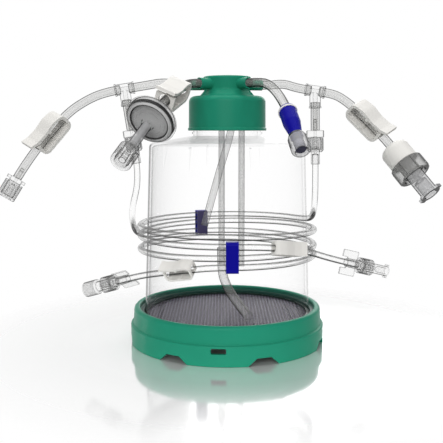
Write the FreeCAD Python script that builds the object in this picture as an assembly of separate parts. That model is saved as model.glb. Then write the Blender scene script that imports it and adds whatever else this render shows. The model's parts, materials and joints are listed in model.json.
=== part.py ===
# Bench bioreactor: a closed, static cell-culture vessel with a gas-permeable floor, a ported
# screw cap and its clear tubing set.  Millimetres, +Z up, origin under the middle of the base.
# Azimuths are in degrees round +Z from the front (-Y), positive towards +X.
import FreeCAD, Part
import math
import os

os.makedirs("parts", exist_ok=True)

# ---- General fits
glue_gap = 0.05            # radial gap of a bonded or pushed-in joint
running_gap = 0.3          # gap between pieces that move past each other
lug_count = 7              # vessel lugs and base notches round the ring

# ---- Base ring
skirt_reach = 10.2         # how far the skirt stands out past the vessel's foot
skirt_height = 13.4
skirt_wall = 2.6
band_step = 1.7            # how far the upper band stands in from the skirt
band_draft = 0.9
rim_height = 26.0
rim_round = 2.4
web_wall = 2.6             # walls of the channel above the skirt
ledge_height = 22.8
shelf_top = 17.4
shelf_wall = 2.8
shelf_reach = 6.4          # how far the shelf runs in under the vessel foot
vessel_room = 0.6          # gap between the vessel foot and the ring
rim_slope = 2.8            # width of the ledge between the foot and the rim
notch_height = 5.2
notch_foot = 22.0
notch_top = 10.0
notch_azimuth = 20.0
window_width = 10.0
window_height = 3.8
window_z = 10.3
window_azimuth = -5.0

# ---- Floor stack, from the shelf up
tray_wall = 1.6
tray_hole_r = 2.2
tray_hole_pitch = 9.6
mesh_wall = 0.7
mesh_groove = 0.3
mesh_pitch = 2.4
membrane_wall = 0.6
seal_height = 0.9
stack_room = 0.3           # radial gap of the loose discs in the ring

# ---- Vessel
foot_r = 59.0
shoulder_r = 54.9
shoulder_height = 120.4    # from the foot to the shoulder corner
shoulder_round = 3.6
cone_rise = 5.0
vessel_wall = 2.0
neck_r = 23.8              # thread crest; the thread itself is left out
neck_wall = 2.2
neck_height = 23.0         # from the cone's top to the neck's mouth
bead_r = 24.8
bead_height = 1.6
rib_count = 8
rib_azimuth = -28.5
rib_length = 22.0
rib_depth = 3.4
rib_wall = 1.1
lug_reach = 2.0
lug_width = 3.0
lug_height = 1.5

# ---- Cap
cap_wall = 3.0
cap_round = 4.0
cap_lip = 0.55
cap_lip_height = 1.7
cap_bead_gap = 0.9         # from the neck bead up to the cap's lower edge
thread_gap = 0.25
gasket_wall = 1.8
cap_top_wall = 2.4
hub_foot_r = 19.4
hub_waist_r = 15.8
hub_top_r = 17.0
hub_height = 14.0
port_drop = 5.7            # from the hub's top down to the port axes
boss_r = 3.75
boss_end_r = 26.0          # how far the bosses reach from the axis
socket_depth = 6.4
collar_length = 4.5        # guides round the dip tubes under the cap's top
collar_wall = 1.3

# ---- Tubing
line_r = 3.15              # upper lines, outside
line_bore_r = 1.6
coil_tube_r = 2.2          # lower lines, outside
coil_bore_r = 1.4
dip_r = 2.2
dip_bore_r = 1.4
sample_dip_r = 2.5
tip_r = 3.3                # soft tip on the long dip tube
arc_share = 0.45           # share of the shorter run that an arc takes

# ---- Ports: azimuth, and how far from the axis each opens under the cap
ports = {
    "rear_left": (-103.0, 4.0),
    "vent": (-48.0, 12.0),
    "sample": (34.0, 9.2),
    "rear_right": (110.0, 11.0),
}

# ---- Dip tubes
mid_dip_drop = 124.0       # straight length below the cap socket
long_dip_drop = 122.0
tip_overlap = 12.0
tip_floor_gap = 3.3        # from the tip's end down to the membrane

# ---- Tees
tee_half = 7.0
tee_stem = 12.0
tee_r = 3.95
tee_bead_r = 4.35
tee_bead = 1.2
tee_socket = 4.0

# ---- Coil round the vessel
coil_gap = 2.1             # least space between the vessel wall and the coil
coil_points = 16           # points in one turn
coil_low_z = 63.4
coil_high_z = 84.9

# ---- Pinch clamps: length, width, wall, room between the tube and the arms
clamp_large = {"length": 32.0, "width": 13.0, "wall": 1.9, "room": 1.5}
clamp_small = {"length": 22.0, "width": 9.0, "wall": 1.35, "room": 1.15}
clamp_hole_gap = 0.9
clamp_ridge_gap = 0.45

# ---- Luer fittings
luer_mouth_r = 2.15
luer_depth = 8.0
luer_taper = 0.03          # radius lost per millimetre of depth
luer_hub_r = 3.9
lug_r = 4.35
barb_length = 8.0
through_r = 1.0            # fluid way through a fitting
end_cap_r = 6.5
end_cap_length = 12.4
end_cap_floor = 2.2
knurl_count = 24
knurl_r = 0.45
lock_r = 5.8
lock_length = 10.0
lock_lip = 1.6
lock_room = 4.95           # inner radius of a lock ring round the lugs
flange_r = 4.35
sleeve_r = 3.1
sleeve_length = 8.6
wing_reach = 8.6
wing_length = 13.0
low_sleeve = 9.5           # how far the hub's sleeve covers the thin tube
wing_wall = 1.0
wing_room = 0.7            # gap between the sleeve and a wing's free end
low_socket_length = 20.3
low_plug_neck = 4.2
low_plug_grip = 10.8

# ---- Vent filter
filter_r = 16.4
filter_front_r = 15.2
filter_plate = 1.5
filter_chamber_r = 13.0
filter_chamber = 1.5
filter_disc_r = 14.0
filter_disc = 0.4
filter_hub_r = 4.1
filter_neck = 3.4
filter_rib_count = 8
filter_rib = 0.7
outlet_length = 20.0

# ---- Sample port
sample_barrel_r = 5.6
sample_waist_r = 4.0
sample_barrel = 27.0
sample_ring_r = 6.2
sample_ring = 1.2
sample_end_r = 6.2
sample_end = 12.6
sample_bore_r = 3.4
piston_length = 6.5
piston_recess = 1.6
piston_travel = 3.5

# ---- Quick coupling on the right line
coupling_r = 10.0
coupling_body = 15.0
coupling_round = 4.5
coupling_ring_r = 11.7
coupling_ring = 11.4
coupling_stub_r = 6.0
coupling_stub = 16.6
coupling_flange_r = 8.6
coupling_flange = 2.0
coupling_bore_r = 4.4
coupling_bore = 12.0

# ---- Straps that tie the coil
strap_width = 8.0
strap_wall = 1.0
strap_room = 0.3
strap_gap = 0.2            # gap between a strap and the vessel wall
strap_azimuths = {"front": 2.6, "rear": 199.0}


def vec(x, y, z):
    return FreeCAD.Vector(x, y, z)


def around(azimuth, radius, z):
    a = math.radians(azimuth)
    return vec(radius * math.sin(a), -radius * math.cos(a), z)


def save(name, shape):
    solids = shape.Solids
    if len(solids) != 1 or not shape.isValid():
        print("CHECK", name, "solids", len(solids), "valid", shape.isValid())
    solids[0].exportStep("parts/" + name + ".step")
    print("%-26s %10.1f mm3" % (name, shape.Volume))
    return shape


# ---- Outlines: corners are (x, y, radius), and a radius of 0 is a sharp corner
def outline(corners):
    count = len(corners)
    ends = []
    edges = []
    for i in range(count):
        here = vec(corners[i][0], corners[i][1], 0)
        before = vec(*corners[i - 1][:2], 0)
        after = vec(*corners[(i + 1) % count][:2], 0)
        way_in = (here - before).normalize()
        way_out = (after - here).normalize()
        turn = way_in.getAngle(way_out)
        radius = corners[i][2]
        if radius <= 0 or turn < 1e-4:
            ends.append((here, here, None))
            continue
        cut = radius * math.tan(turn / 2)
        middle = (way_out - way_in).normalize()
        centre = here + middle * (radius / math.cos(turn / 2))
        ends.append((here - way_in * cut, here + way_out * cut, centre - middle * radius))
    for i in range(count):
        first, last, middle = ends[i]
        if middle is not None:
            edges.append(Part.Arc(first, middle, last).toShape())
        start = ends[(i + 1) % count][0]
        if (start - last).Length > 1e-6:
            edges.append(Part.LineSegment(last, start).toShape())
    return Part.Face(Part.Wire(edges))


def turned(corners):
    """A solid turned about +Z from corners (radius, height, rounding)."""
    face = outline(corners)
    face.rotate(vec(0, 0, 0), vec(1, 0, 0), 90)
    return face.revolve(vec(0, 0, 0), vec(0, 0, 1), 360)


def plate(corners, thickness):
    """A flat outline in X and Z with its thickness centred on Y."""
    face = outline(corners)
    face.rotate(vec(0, 0, 0), vec(1, 0, 0), 90)
    solid = face.extrude(vec(0, thickness, 0))
    solid.translate(vec(0, -thickness / 2, 0))
    return solid


def strip(corners, wall):
    """The closed outline of a strip of one wall along an open line of corners."""
    left = []
    right = []
    last = len(corners) - 1
    for i, (x, y, radius) in enumerate(corners):
        here = vec(x, y, 0)
        way_in = (here - vec(*corners[i - 1][:2], 0)).normalize() if i > 0 else None
        way_out = (vec(*corners[i + 1][:2], 0) - here).normalize() if i < last else None
        first = way_in or way_out
        second = way_out or way_in
        half_turn = first.getAngle(second) / 2
        side = vec(-(first + second).y, (first + second).x, 0).normalize()
        reach = wall / 2 / math.cos(half_turn)
        sign = 1 if first.cross(second).z > 0 else -1
        a = here + side * reach
        b = here - side * reach
        left.append((a.x, a.y, max(radius - sign * wall / 2, 0) if radius else 0))
        right.append((b.x, b.y, max(radius + sign * wall / 2, 0) if radius else 0))
    return left + right[::-1]


def rod(radius, start, end):
    line = end - start
    return Part.makeCylinder(radius, line.Length, start, line)


def pipe_between(radius, bore, start, end):
    return rod(radius, start, end).cut(rod(bore, start, end))


def placed(shape, origin, axis, up=None):
    """Moves a shape made along +Z so that +Z lies on axis, and +X as near up as it can."""
    z = FreeCAD.Vector(axis).normalize()
    hint = up or (vec(0, 0, 1) if abs(z.z) < 0.9 else vec(0, -1, 0))
    y = z.cross(hint).normalize()
    x = y.cross(z)
    matrix = FreeCAD.Matrix(
        x.x, y.x, z.x, origin.x,
        x.y, y.y, z.y, origin.y,
        x.z, y.z, z.z, origin.z,
        0, 0, 0, 1)
    moved = shape.copy()
    moved.Placement = FreeCAD.Placement(matrix).multiply(shape.Placement)
    return moved


# ---- Tubes along a route: straight runs joined by tangent arcs
def route_wire(name, points):
    edges = []
    radii = []
    last = points[0]
    for i in range(1, len(points) - 1):
        way_in = points[i] - points[i - 1]
        way_out = points[i + 1] - points[i]
        cut = arc_share * min(way_in.Length, way_out.Length)
        way_in.normalize()
        way_out.normalize()
        turn = way_in.getAngle(way_out)
        radius = cut / math.tan(turn / 2)
        radii.append(radius)
        middle = (way_out - way_in).normalize()
        first = points[i] - way_in * cut
        end = points[i] + way_out * cut
        centre = points[i] + middle * (radius / math.cos(turn / 2))
        edges.append(Part.LineSegment(last, first).toShape())
        edges.append(Part.Arc(first, centre - middle * radius, end).toShape())
        last = end
    edges.append(Part.LineSegment(last, points[-1]).toShape())
    wire = Part.Wire(edges)
    print("%-26s length %6.1f  least radius %5.1f" % (name, wire.Length, min(radii)))
    return wire


def tube(name, points, radius, bore):
    wire = route_wire(name, points)
    start = points[1] - points[0]
    shells = []
    for r in (radius, bore):
        ring = Part.Wire(Part.makeCircle(r, points[0], start))
        shells.append(wire.makePipeShell([ring], True, True))
    solid = shells[0].cut(shells[1])
    section = math.pi * (radius ** 2 - bore ** 2)
    off = solid.Volume / (section * wire.Length) - 1
    if abs(off) > 0.002:
        print("CHECK", name, "volume is off by", round(100 * off, 2), "%")
    return save(name, solid)


# ---- Heights that follow from the sizes above
mesh_z = shelf_top + tray_wall
membrane_z = mesh_z + mesh_wall
floor_z = membrane_z + membrane_wall
foot_z = floor_z + seal_height
shoulder_z = foot_z + shoulder_height
cone_z = shoulder_z + cone_rise
bead_z = cone_z + 1.0
cap_z = bead_z + bead_height + cap_bead_gap
neck_top = cone_z + neck_height
cap_under = neck_top + gasket_wall
cap_shoulder = cap_under + cap_top_wall
cap_top = cap_shoulder + hub_height
port_z = cap_top - port_drop
cap_bore_r = neck_r + thread_gap
cap_r = cap_bore_r + cap_wall
foot_room_r = foot_r + vessel_room
skirt_r = foot_r + skirt_reach
socket_floor_r = boss_end_r - socket_depth
dip_socket = 5.0


def vessel_r(z):
    """Outer radius of the drafted wall at a height."""
    return foot_r + (shoulder_r - foot_r) * (z - foot_z) / shoulder_height


# ---- Base and floor
def base_ring():
    band_r = skirt_r - band_step
    inner_r = skirt_r - skirt_wall
    web_r = band_r - band_draft - web_wall + 0.4
    rim_r = foot_room_r + rim_slope
    ring = turned([
        (skirt_r, 0, 0.6),
        (skirt_r, skirt_height, 0.8),
        (band_r, skirt_height + 0.6, 0.4),
        (band_r - band_draft, rim_height, rim_round),
        (rim_r, rim_height - 0.3, rim_round * 0.6),
        (rim_r - 0.2, ledge_height, 0.5),
        (foot_room_r, ledge_height, 0.5),
        (foot_room_r, shelf_top, 0.3),
        (foot_r - shelf_reach, shelf_top, 0.5),
        (foot_r - shelf_reach, shelf_top - shelf_wall, 0.5),
        (foot_room_r + web_wall, shelf_top - shelf_wall, 0.5),
        (foot_room_r + web_wall, ledge_height - web_wall * 0.5, 0.5),
        (web_r, ledge_height - web_wall * 0.5, 0.5),
        (web_r, skirt_height - 1.2, 0.4),
        (inner_r, skirt_height - 1.6, 0.4),
        (inner_r, 0, 0.5),
    ])
    depth = skirt_wall * 6
    notch = plate([
        (-notch_foot / 2 - 1, -1.0, 0),
        (-notch_foot / 2, 0, 0),
        (-notch_top / 2, notch_height, 1.0),
        (notch_top / 2, notch_height, 1.0),
        (notch_foot / 2, 0, 0),
        (notch_foot / 2 + 1, -1.0, 0),
    ], depth)
    half_w = window_width / 2
    half_h = window_height / 2
    window = plate([
        (-half_w, window_z - half_h, 0.9),
        (half_w, window_z - half_h, 0.9),
        (half_w, window_z + half_h, 0.9),
        (-half_w, window_z + half_h, 0.9),
    ], depth)
    cuts = []
    for i in range(lug_count):
        cuts.append((notch, notch_azimuth + 360.0 * i / lug_count))
    cuts.append((window, window_azimuth))
    for tool, azimuth in cuts:
        cutter = tool.copy()
        cutter.translate(vec(0, -skirt_r, 0))
        cutter.rotate(vec(0, 0, 0), vec(0, 0, 1), azimuth)
        ring = ring.cut(cutter)
    return save("base_ring", ring)


def support_tray():
    radius = foot_room_r - stack_room
    tray = Part.makeCylinder(radius, tray_wall, vec(0, 0, shelf_top))
    free_r = foot_r - shelf_reach - tray_hole_r
    holes = []
    rows = int(free_r / tray_hole_pitch) + 1
    for row in range(-rows, rows + 1):
        y = row * tray_hole_pitch * math.sqrt(3) / 2
        for column in range(-rows - 1, rows + 2):
            x = (column + 0.5 * (row % 2)) * tray_hole_pitch
            if math.hypot(x, y) < free_r:
                holes.append(Part.makeCylinder(tray_hole_r, tray_wall, vec(x, y, shelf_top)))
    return save("support_tray", tray.cut(Part.makeCompound(holes)))


def support_mesh():
    radius = foot_room_r - stack_room
    disc = Part.makeCylinder(radius, mesh_wall, vec(0, 0, mesh_z))
    count = int((foot_r - shelf_reach) / mesh_pitch)
    grooves = []
    for i in range(-count, count + 1):
        x = i * mesh_pitch
        half = math.sqrt((foot_r - shelf_reach + 1) ** 2 - x ** 2)
        grooves.append(Part.makeBox(
            mesh_pitch / 2, 2 * half, mesh_groove,
            vec(x - mesh_pitch / 4, -half, mesh_z + mesh_wall - mesh_groove)))
    return save("support_mesh", disc.cut(Part.makeCompound(grooves)))


def floor_membrane():
    radius = foot_room_r - stack_room
    disc = Part.makeCylinder(radius, membrane_wall, vec(0, 0, membrane_z))
    return save("floor_membrane", disc)


def foot_seal():
    inner = foot_r - vessel_wall
    return save("foot_seal", turned([
        (inner, floor_z, 0),
        (foot_r, floor_z, 0),
        (foot_r, foot_z, 0),
        (inner, foot_z, 0),
    ]))


# ---- Vessel
def vessel():
    inner_foot = foot_r - vessel_wall
    inner_shoulder = shoulder_r - vessel_wall
    bore = neck_r - neck_wall
    shell = turned([
        (foot_r, foot_z, 0.3),
        (shoulder_r, shoulder_z, shoulder_round),
        (neck_r, cone_z, 0.8),
        (neck_r, bead_z, 0),
        (bead_r, bead_z, 0.3),
        (bead_r, bead_z + bead_height, 0.3),
        (neck_r, bead_z + bead_height, 0),
        (neck_r, neck_top, 0.4),
        (bore, neck_top, 0.4),
        (bore, cone_z - vessel_wall, 1.5),
        (inner_shoulder, shoulder_z - vessel_wall, shoulder_round - vessel_wall / 2),
        (inner_foot, foot_z, 0.3),
    ])
    lug = Part.makeBox(
        lug_reach + vessel_wall / 2, lug_width, lug_height,
        vec(foot_r - vessel_wall / 2, -lug_width / 2, ledge_height + 0.15))
    for i in range(lug_count):
        piece = lug.copy()
        azimuth = notch_azimuth + 360.0 * (i + 0.5) / lug_count
        piece.rotate(vec(0, 0, 0), vec(0, 0, 1), azimuth - 90)
        shell = shell.fuse(piece)
    top = shoulder_z - vessel_wall - 1.0
    wall_in = vessel_wall / 2
    rib = plate([
        (vessel_r(top) - wall_in, top, 0),
        (vessel_r(top) - vessel_wall - rib_depth, top + 0.6, 0),
        (vessel_r(top - rib_length) - wall_in, top - rib_length, 0),
    ], rib_wall)
    for i in range(rib_count):
        piece = rib.copy()
        piece.rotate(vec(0, 0, 0), vec(0, 0, 1), rib_azimuth + 360.0 * i / rib_count - 90)
        shell = shell.fuse(piece)
    return save("vessel", shell.removeSplitter())


# ---- Cap with its four ports
def cap():
    body = turned([
        (0, cap_under, 0),
        (cap_bore_r, cap_under, 0.3),
        (cap_bore_r, cap_z, 0.4),
        (cap_r + cap_lip, cap_z, 0.4),
        (cap_r + cap_lip, cap_z + cap_lip_height, 0.5),
        (cap_r, cap_z + cap_lip_height + 0.4, 0.3),
        (cap_r - 0.2, cap_shoulder, cap_round),
        (hub_foot_r, cap_shoulder + 0.3, 2.4),
        (hub_waist_r, cap_shoulder + 4.2, 3.0),
        (hub_top_r, cap_top - 0.3, 1.2),
        (0, cap_top, 0),
    ])
    adds = []
    cuts = []
    for name, (azimuth, drop_r) in ports.items():
        inner_end = around(azimuth, drop_r, port_z)
        seat_end = around(azimuth, socket_floor_r, port_z)
        boss_end = around(azimuth, boss_end_r, port_z)
        adds.append(rod(boss_r, around(azimuth, hub_waist_r / 2, port_z), boss_end))
        cuts.append(rod(line_r + glue_gap, seat_end, boss_end))
        cuts.append(rod(line_bore_r, inner_end, seat_end))
        cuts.append(rod(dip_bore_r, around(azimuth, drop_r, cap_under - 1), inner_end))
        if name in dip_sizes:
            seat = dip_sizes[name] + glue_gap
            adds.append(rod(
                seat + collar_wall, around(azimuth, drop_r, cap_under + 1),
                around(azimuth, drop_r, cap_under - collar_length)))
            cuts.append(rod(
                seat, around(azimuth, drop_r, cap_under - collar_length - 1),
                around(azimuth, drop_r, cap_under + dip_socket)))
    for piece in adds:
        body = body.fuse(piece)
    for piece in cuts:
        body = body.cut(piece)
    return save("cap", body.removeSplitter())


def cap_gasket():
    return save("cap_gasket", turned([
        (neck_r - neck_wall + 0.2, neck_top, 0),
        (neck_r - 0.2, neck_top, 0),
        (neck_r - 0.2, cap_under, 0),
        (neck_r - neck_wall + 0.2, cap_under, 0),
    ]))


# ---- Dip tubes
dip_sizes = {"rear_left": dip_r, "rear_right": dip_r, "sample": sample_dip_r}


def dip_top(port):
    azimuth, drop_r = ports[port]
    return around(azimuth, drop_r, cap_under + dip_socket)


def dip_tubes():
    top = dip_top("rear_right")
    save("mid_dip_tube", pipe_between(dip_r, dip_bore_r, top, top - vec(0, 0, mid_dip_drop)))
    top = dip_top("rear_left")
    end = top - vec(0, 0, long_dip_drop)
    save("long_dip_tube", pipe_between(dip_r, dip_bore_r, top, end))
    tip_start = end + vec(0, 0, tip_overlap)
    down = floor_z + tip_floor_gap
    tube("dip_tip", [
        tip_start,
        vec(end.x, end.y, end.z - 5.0),
        vec(end.x + 2.8, end.y - 4.6, end.z - 13.4),
        vec(end.x + 8.8, end.y - 15.0, end.z - 22.6),
        vec(end.x + 18.4, end.y - 31.5, down),
    ], tip_r, dip_r + glue_gap)
    top = dip_top("sample")
    tube("sample_dip_tube", [
        top,
        top - vec(0.0, 0.0, 20.0),
        top + vec(-11.2, -3.0, -56.0),
        top + vec(-21.0, -6.1, -92.0),
    ], sample_dip_r, dip_bore_r)


# ---- Tee
class Tee:
    """A tee in place: its two arms and its stem, and where the tubes seat in them."""

    def __init__(self, name, centre, run, stem):
        self.name = name
        self.centre = centre
        self.run = vec(*run).normalize()
        self.stem = vec(*stem).normalize()

    def arm(self, sign):
        return self.centre + self.run * (sign * (tee_half - tee_socket))

    def foot(self):
        return self.centre + self.stem * (tee_stem - tee_socket)

    def build(self):
        legs = [(self.run, tee_half), (self.run * -1, tee_half), (self.stem, tee_stem)]
        body = None
        for way, length in legs:
            end = self.centre + way * length
            leg = rod(tee_r, self.centre, end).fuse(rod(tee_bead_r, end - way * tee_bead, end))
            body = leg if body is None else body.fuse(leg)
        for way, length in legs:
            end = self.centre + way * length
            body = body.cut(rod(line_bore_r, self.centre, end))
            body = body.cut(rod(line_r + glue_gap, end - way * tee_socket, end))
        return save(self.name, body.removeSplitter())


# ---- Pinch clamp: the tube runs along +X from the loop end, the lipped arm is on +Z
def clamp_shape(sizes, tube_r):
    length = sizes["length"]
    wall = sizes["wall"]
    inner = tube_r + sizes["room"]
    mid = inner + wall / 2
    wall_x = length * 0.87
    bend = wall * 2.1
    body = plate(strip([
        (length, mid + wall * 1.25, 0),
        (length * 0.84, mid + wall * 0.35, bend * 1.6),
        (length * 0.60, mid + wall * 0.05, bend * 3),
        (length * 0.32, mid + wall * 0.75, bend * 3),
        (wall / 2, mid, bend),
        (wall / 2, -mid, bend),
        (wall_x, -mid, bend),
        (wall_x, inner - wall * 0.22, 0),
    ], wall), sizes["width"])
    ridge_r = wall * 0.6
    reach = tube_r + clamp_ridge_gap
    ridges = []
    for sign in (-1, 1):
        top = sign * (reach + ridge_r)
        x = length * 0.47
        start = vec(x, -sizes["width"] / 2, top)
        ridges.append(Part.makeCylinder(ridge_r, sizes["width"], start, vec(0, 1, 0)))
        depth = abs(mid + wall * 0.35 - reach - ridge_r)
        low = top if sign > 0 else top - depth
        ridges.append(Part.makeBox(
            2 * ridge_r, sizes["width"], depth, vec(x - ridge_r, -sizes["width"] / 2, low)))
    for piece in ridges:
        body = body.fuse(piece)
    for x in (0, wall_x):
        body = body.cut(rod(tube_r + clamp_hole_gap, vec(x - wall * 1.5, 0, 0), vec(x + wall * 1.5, 0, 0)))
    return body.removeSplitter()


def clamp(name, sizes, tube_r, middle, way, up):
    """middle lies on the tube, way runs from the loop to the lip, up is the lipped arm's side."""
    shape = clamp_shape(sizes, tube_r)
    shape.translate(vec(-sizes["length"] / 2, 0, 0))
    shape.rotate(vec(0, 0, 0), vec(0, 1, 0), -90)
    # the tube now lies on +Z and the lipped arm on -X
    way = FreeCAD.Vector(way).normalize()
    up = FreeCAD.Vector(up)
    return save(name, placed(shape, middle, way, up * -1))


# ---- Luer fittings, made along +Z away from the tube's end at z = 0
def barb(bore_r, length):
    r = bore_r - glue_gap
    return turned([
        (through_r, -length, 0),
        (r - 0.35, -length, 0),
        (r, -length + 2.2, 0),
        (r - 0.25, -length + 2.2, 0),
        (r - 0.25, 0, 0),
        (r - 0.25, 0.5, 0),
        (through_r, 0.5, 0),
    ])


def luer_cone_r(depth):
    return luer_mouth_r - luer_taper * depth


def female_luer(bore_r, hub, hub_r, body_length, tab_reach=0.0):
    """Barbed tail, a hub, a luer socket with two lugs at its mouth."""
    end = hub + body_length
    body = turned([
        (through_r, 0, 0),
        (hub_r, 0, 0.4),
        (hub_r, hub, 0.4),
        (luer_hub_r, hub, 0),
        (luer_hub_r, end, 0.2),
        (luer_mouth_r, end, 0),
        (luer_cone_r(luer_depth), end - luer_depth, 0),
        (through_r, end - luer_depth - 0.6, 0),
    ])
    body = body.fuse(barb(bore_r, barb_length))
    for sign in (-1, 1):
        lug = Part.makeBox(lug_r - 3.0, 3.0, 1.2, vec(3.0 if sign > 0 else -lug_r, -1.5, end - 1.2))
        body = body.fuse(lug)
        if tab_reach:
            x = hub_r - 0.6 if sign > 0 else -tab_reach
            body = body.fuse(Part.makeBox(tab_reach - hub_r + 0.6, 3.6, hub * 0.7, vec(x, -1.8, 0.1)))
    return body.removeSplitter()


def knurled(body, radius, start, length):
    cuts = []
    for i in range(knurl_count):
        place = around(360.0 * i / knurl_count, radius + knurl_r * 0.35, start)
        cuts.append(Part.makeCylinder(knurl_r, length, place))
    return body.cut(Part.makeCompound(cuts))


def luer_cap(start, length, radius, mouth):
    """A cap over a luer mouth at z = mouth, from z = start, with its own male cone."""
    end = start + length
    cone_top = mouth + running_gap
    cap_solid = turned([
        (lug_r + running_gap, start, 0.2),
        (radius, start, 0.5),
        (radius, end, 0.9),
        (radius * 0.62, end, 0.3),
        (radius * 0.62, end - end_cap_floor * 0.45, 0.2),
        (0, end - end_cap_floor * 0.45, 0),
        (0, mouth - luer_depth * 0.7, 0),
        (luer_cone_r(luer_depth * 0.7) - 0.1, mouth - luer_depth * 0.7, 0.2),
        (luer_mouth_r - 0.1, cone_top, 0),
        (lug_r + running_gap, cone_top, 0.3),
    ])
    return knurled(cap_solid, radius, start + 1.0, length - 2.4)


def lock_ring(start, length, radius):
    """A luer lock ring: open towards the lugs at its start, a lip at its far end."""
    end = start + length
    ring = turned([
        (lock_room, start, 0.2),
        (radius, start, 0.4),
        (radius, end - 1.4, 0.3),
        (radius - 1.2, end, 0.3),
        (sleeve_r + running_gap, end, 0.2),
        (sleeve_r + running_gap, end - lock_lip, 0.2),
        (lock_room, end - lock_lip, 0.2),
    ])
    return knurled(ring, radius, start + 0.8, length - lock_lip - 1.8)


def male_luer(mouth, flange_z, end):
    """A male cone below a flange, and a sleeve that takes the thin tube at its far end."""
    return turned([
        (through_r, mouth - luer_depth * 0.75, 0),
        (luer_cone_r(luer_depth * 0.75) - 0.1, mouth - luer_depth * 0.75, 0.2),
        (luer_mouth_r - 0.1, mouth + 0.15, 0),
        (flange_r, mouth + 0.15, 0.1),
        (flange_r, flange_z - running_gap, 0.1),
        (sleeve_r, flange_z - running_gap, 0),
        (sleeve_r, end, 0.3),
        (coil_tube_r + glue_gap, end, 0),
        (coil_tube_r + glue_gap, end - sleeve_length + 1.2, 0),
        (through_r, end - sleeve_length + 1.2, 0),
    ])


drop_hub = 5.0
drop_body = 8.0
drop_mouth = drop_hub + drop_body
drop_ring_end = drop_hub + running_gap + lock_length
drop_end = drop_ring_end + sleeve_length
drop_seat = drop_end - sleeve_length + 1.2


def drop_connector(side, origin, axis):
    """Female luer on the stem tube, lock ring, and the male half on the coil's tube."""
    female = female_luer(line_bore_r, drop_hub, lock_r + 0.4, drop_body)
    ring = lock_ring(drop_hub + running_gap, lock_length, lock_r)
    male = male_luer(drop_mouth, drop_ring_end - lock_lip, drop_end)
    save(side + "_drop_socket", placed(female, origin, axis))
    save(side + "_drop_ring", placed(ring, origin, axis))
    save(side + "_drop_plug", placed(male, origin, axis))


# ---- Lower line ends, made along +Z from the end of the thin tube at z = 0
low_ring_start = 1.0
low_ring_end = low_ring_start + lock_length
low_mouth = low_ring_start + lock_lip + running_gap + 1.2


def low_hub():
    """Sleeve on the thin tube with two flat wings, a flange in the lock ring, a male cone."""
    seat = coil_tube_r + glue_gap
    body = turned([
        (seat, -low_sleeve, 0.1),
        (sleeve_r - 0.3, -low_sleeve, 0.2),
        (sleeve_r, 0, 0),
        (sleeve_r, low_mouth - 0.6, 0),
        (flange_r, low_mouth - 0.6, 0.1),
        (flange_r, low_mouth, 0.1),
        (luer_mouth_r - 0.1, low_mouth, 0),
        (luer_cone_r(luer_depth * 0.75) - 0.1, low_mouth + luer_depth * 0.75, 0.2),
        (through_r, low_mouth + luer_depth * 0.75, 0),
        (through_r, 0, 0),
        (seat, 0, 0),
    ])
    wing_edge = sleeve_r + wing_room
    wing = plate([
        (sleeve_r - 0.5, -1.0, 0),
        (wing_reach, -1.0, 0.8),
        (wing_reach, -wing_length, 0.8),
        (wing_edge, -wing_length, 0.4),
        (wing_edge, 0.5 - low_sleeve, 0.2),
        (sleeve_r - 0.5, 0.5 - low_sleeve, 0),
    ], wing_wall)
    for turn in (0, 180):
        side = wing.copy()
        side.rotate(vec(0, 0, 0), vec(0, 0, 1), turn)
        body = body.fuse(side)
    return body.removeSplitter()


def low_ring():
    ring = turned([
        (sleeve_r + running_gap, low_ring_start, 0.2),
        (lock_r - 0.3, low_ring_start, 0.5),
        (lock_r - 0.3, low_ring_end, 0.4),
        (lock_room, low_ring_end, 0.2),
        (lock_room, low_ring_start + lock_lip, 0.2),
        (sleeve_r + running_gap, low_ring_start + lock_lip, 0.2),
    ])
    return knurled(ring, lock_r - 0.3, low_ring_start + 0.8, lock_length - 1.8)




def low_socket():
    """A female luer in the lock ring, with a lugged flange and an open mouth at the far end."""
    end = low_mouth + low_socket_length
    body = turned([
        (luer_mouth_r, low_mouth, 0),
        (lug_r - 0.9, low_mouth, 0.1),
        (lug_r - 0.9, end, 0.2),
        (luer_mouth_r, end, 0),
        (luer_mouth_r, end - luer_depth, 0),
        (through_r, end - luer_depth - 0.6, 0),
        (through_r, low_mouth + luer_depth + 0.6, 0),
        (luer_cone_r(luer_depth), low_mouth + luer_depth, 0),
    ])
    for z, reach in ((low_mouth, lug_r), (end - 1.3, lug_r + 0.3)):
        for sign in (-1, 1):
            x = 3.0 if sign > 0 else -reach
            body = body.fuse(Part.makeBox(reach - 3.0, 3.4, 1.3, vec(x, -1.7, z)))
    return body.removeSplitter()


def low_plug():
    """A closing plug: a female luer in the lock ring, a neck, and a ribbed grip."""
    start = low_mouth + running_gap
    neck_end = low_ring_end + low_plug_neck
    grip_end = neck_end + low_plug_grip
    body = turned([
        (luer_mouth_r, start, 0),
        (lug_r - 0.9, start, 0.1),
        (lug_r - 0.9, neck_end, 0),
        (lock_r - 0.6, neck_end, 0.6),
        (lock_r - 0.6, grip_end, 1.0),
        (0, grip_end, 0),
        (0, start + luer_depth + 0.6, 0),
        (luer_cone_r(luer_depth), start + luer_depth, 0),
    ])
    for sign in (-1, 1):
        x = 3.0 if sign > 0 else -lug_r
        body = body.fuse(Part.makeBox(lug_r - 3.0, 3.4, 1.3, vec(x, -1.7, start)))
    return knurled(body.removeSplitter(), lock_r - 0.6, neck_end + 1.0, low_plug_grip - 2.4)


# ---- Vent filter, made along +Z with its disc at z = 0 and its inlet on -Z
filter_half = filter_chamber + filter_plate
filter_hub_z = filter_half + filter_neck


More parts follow.
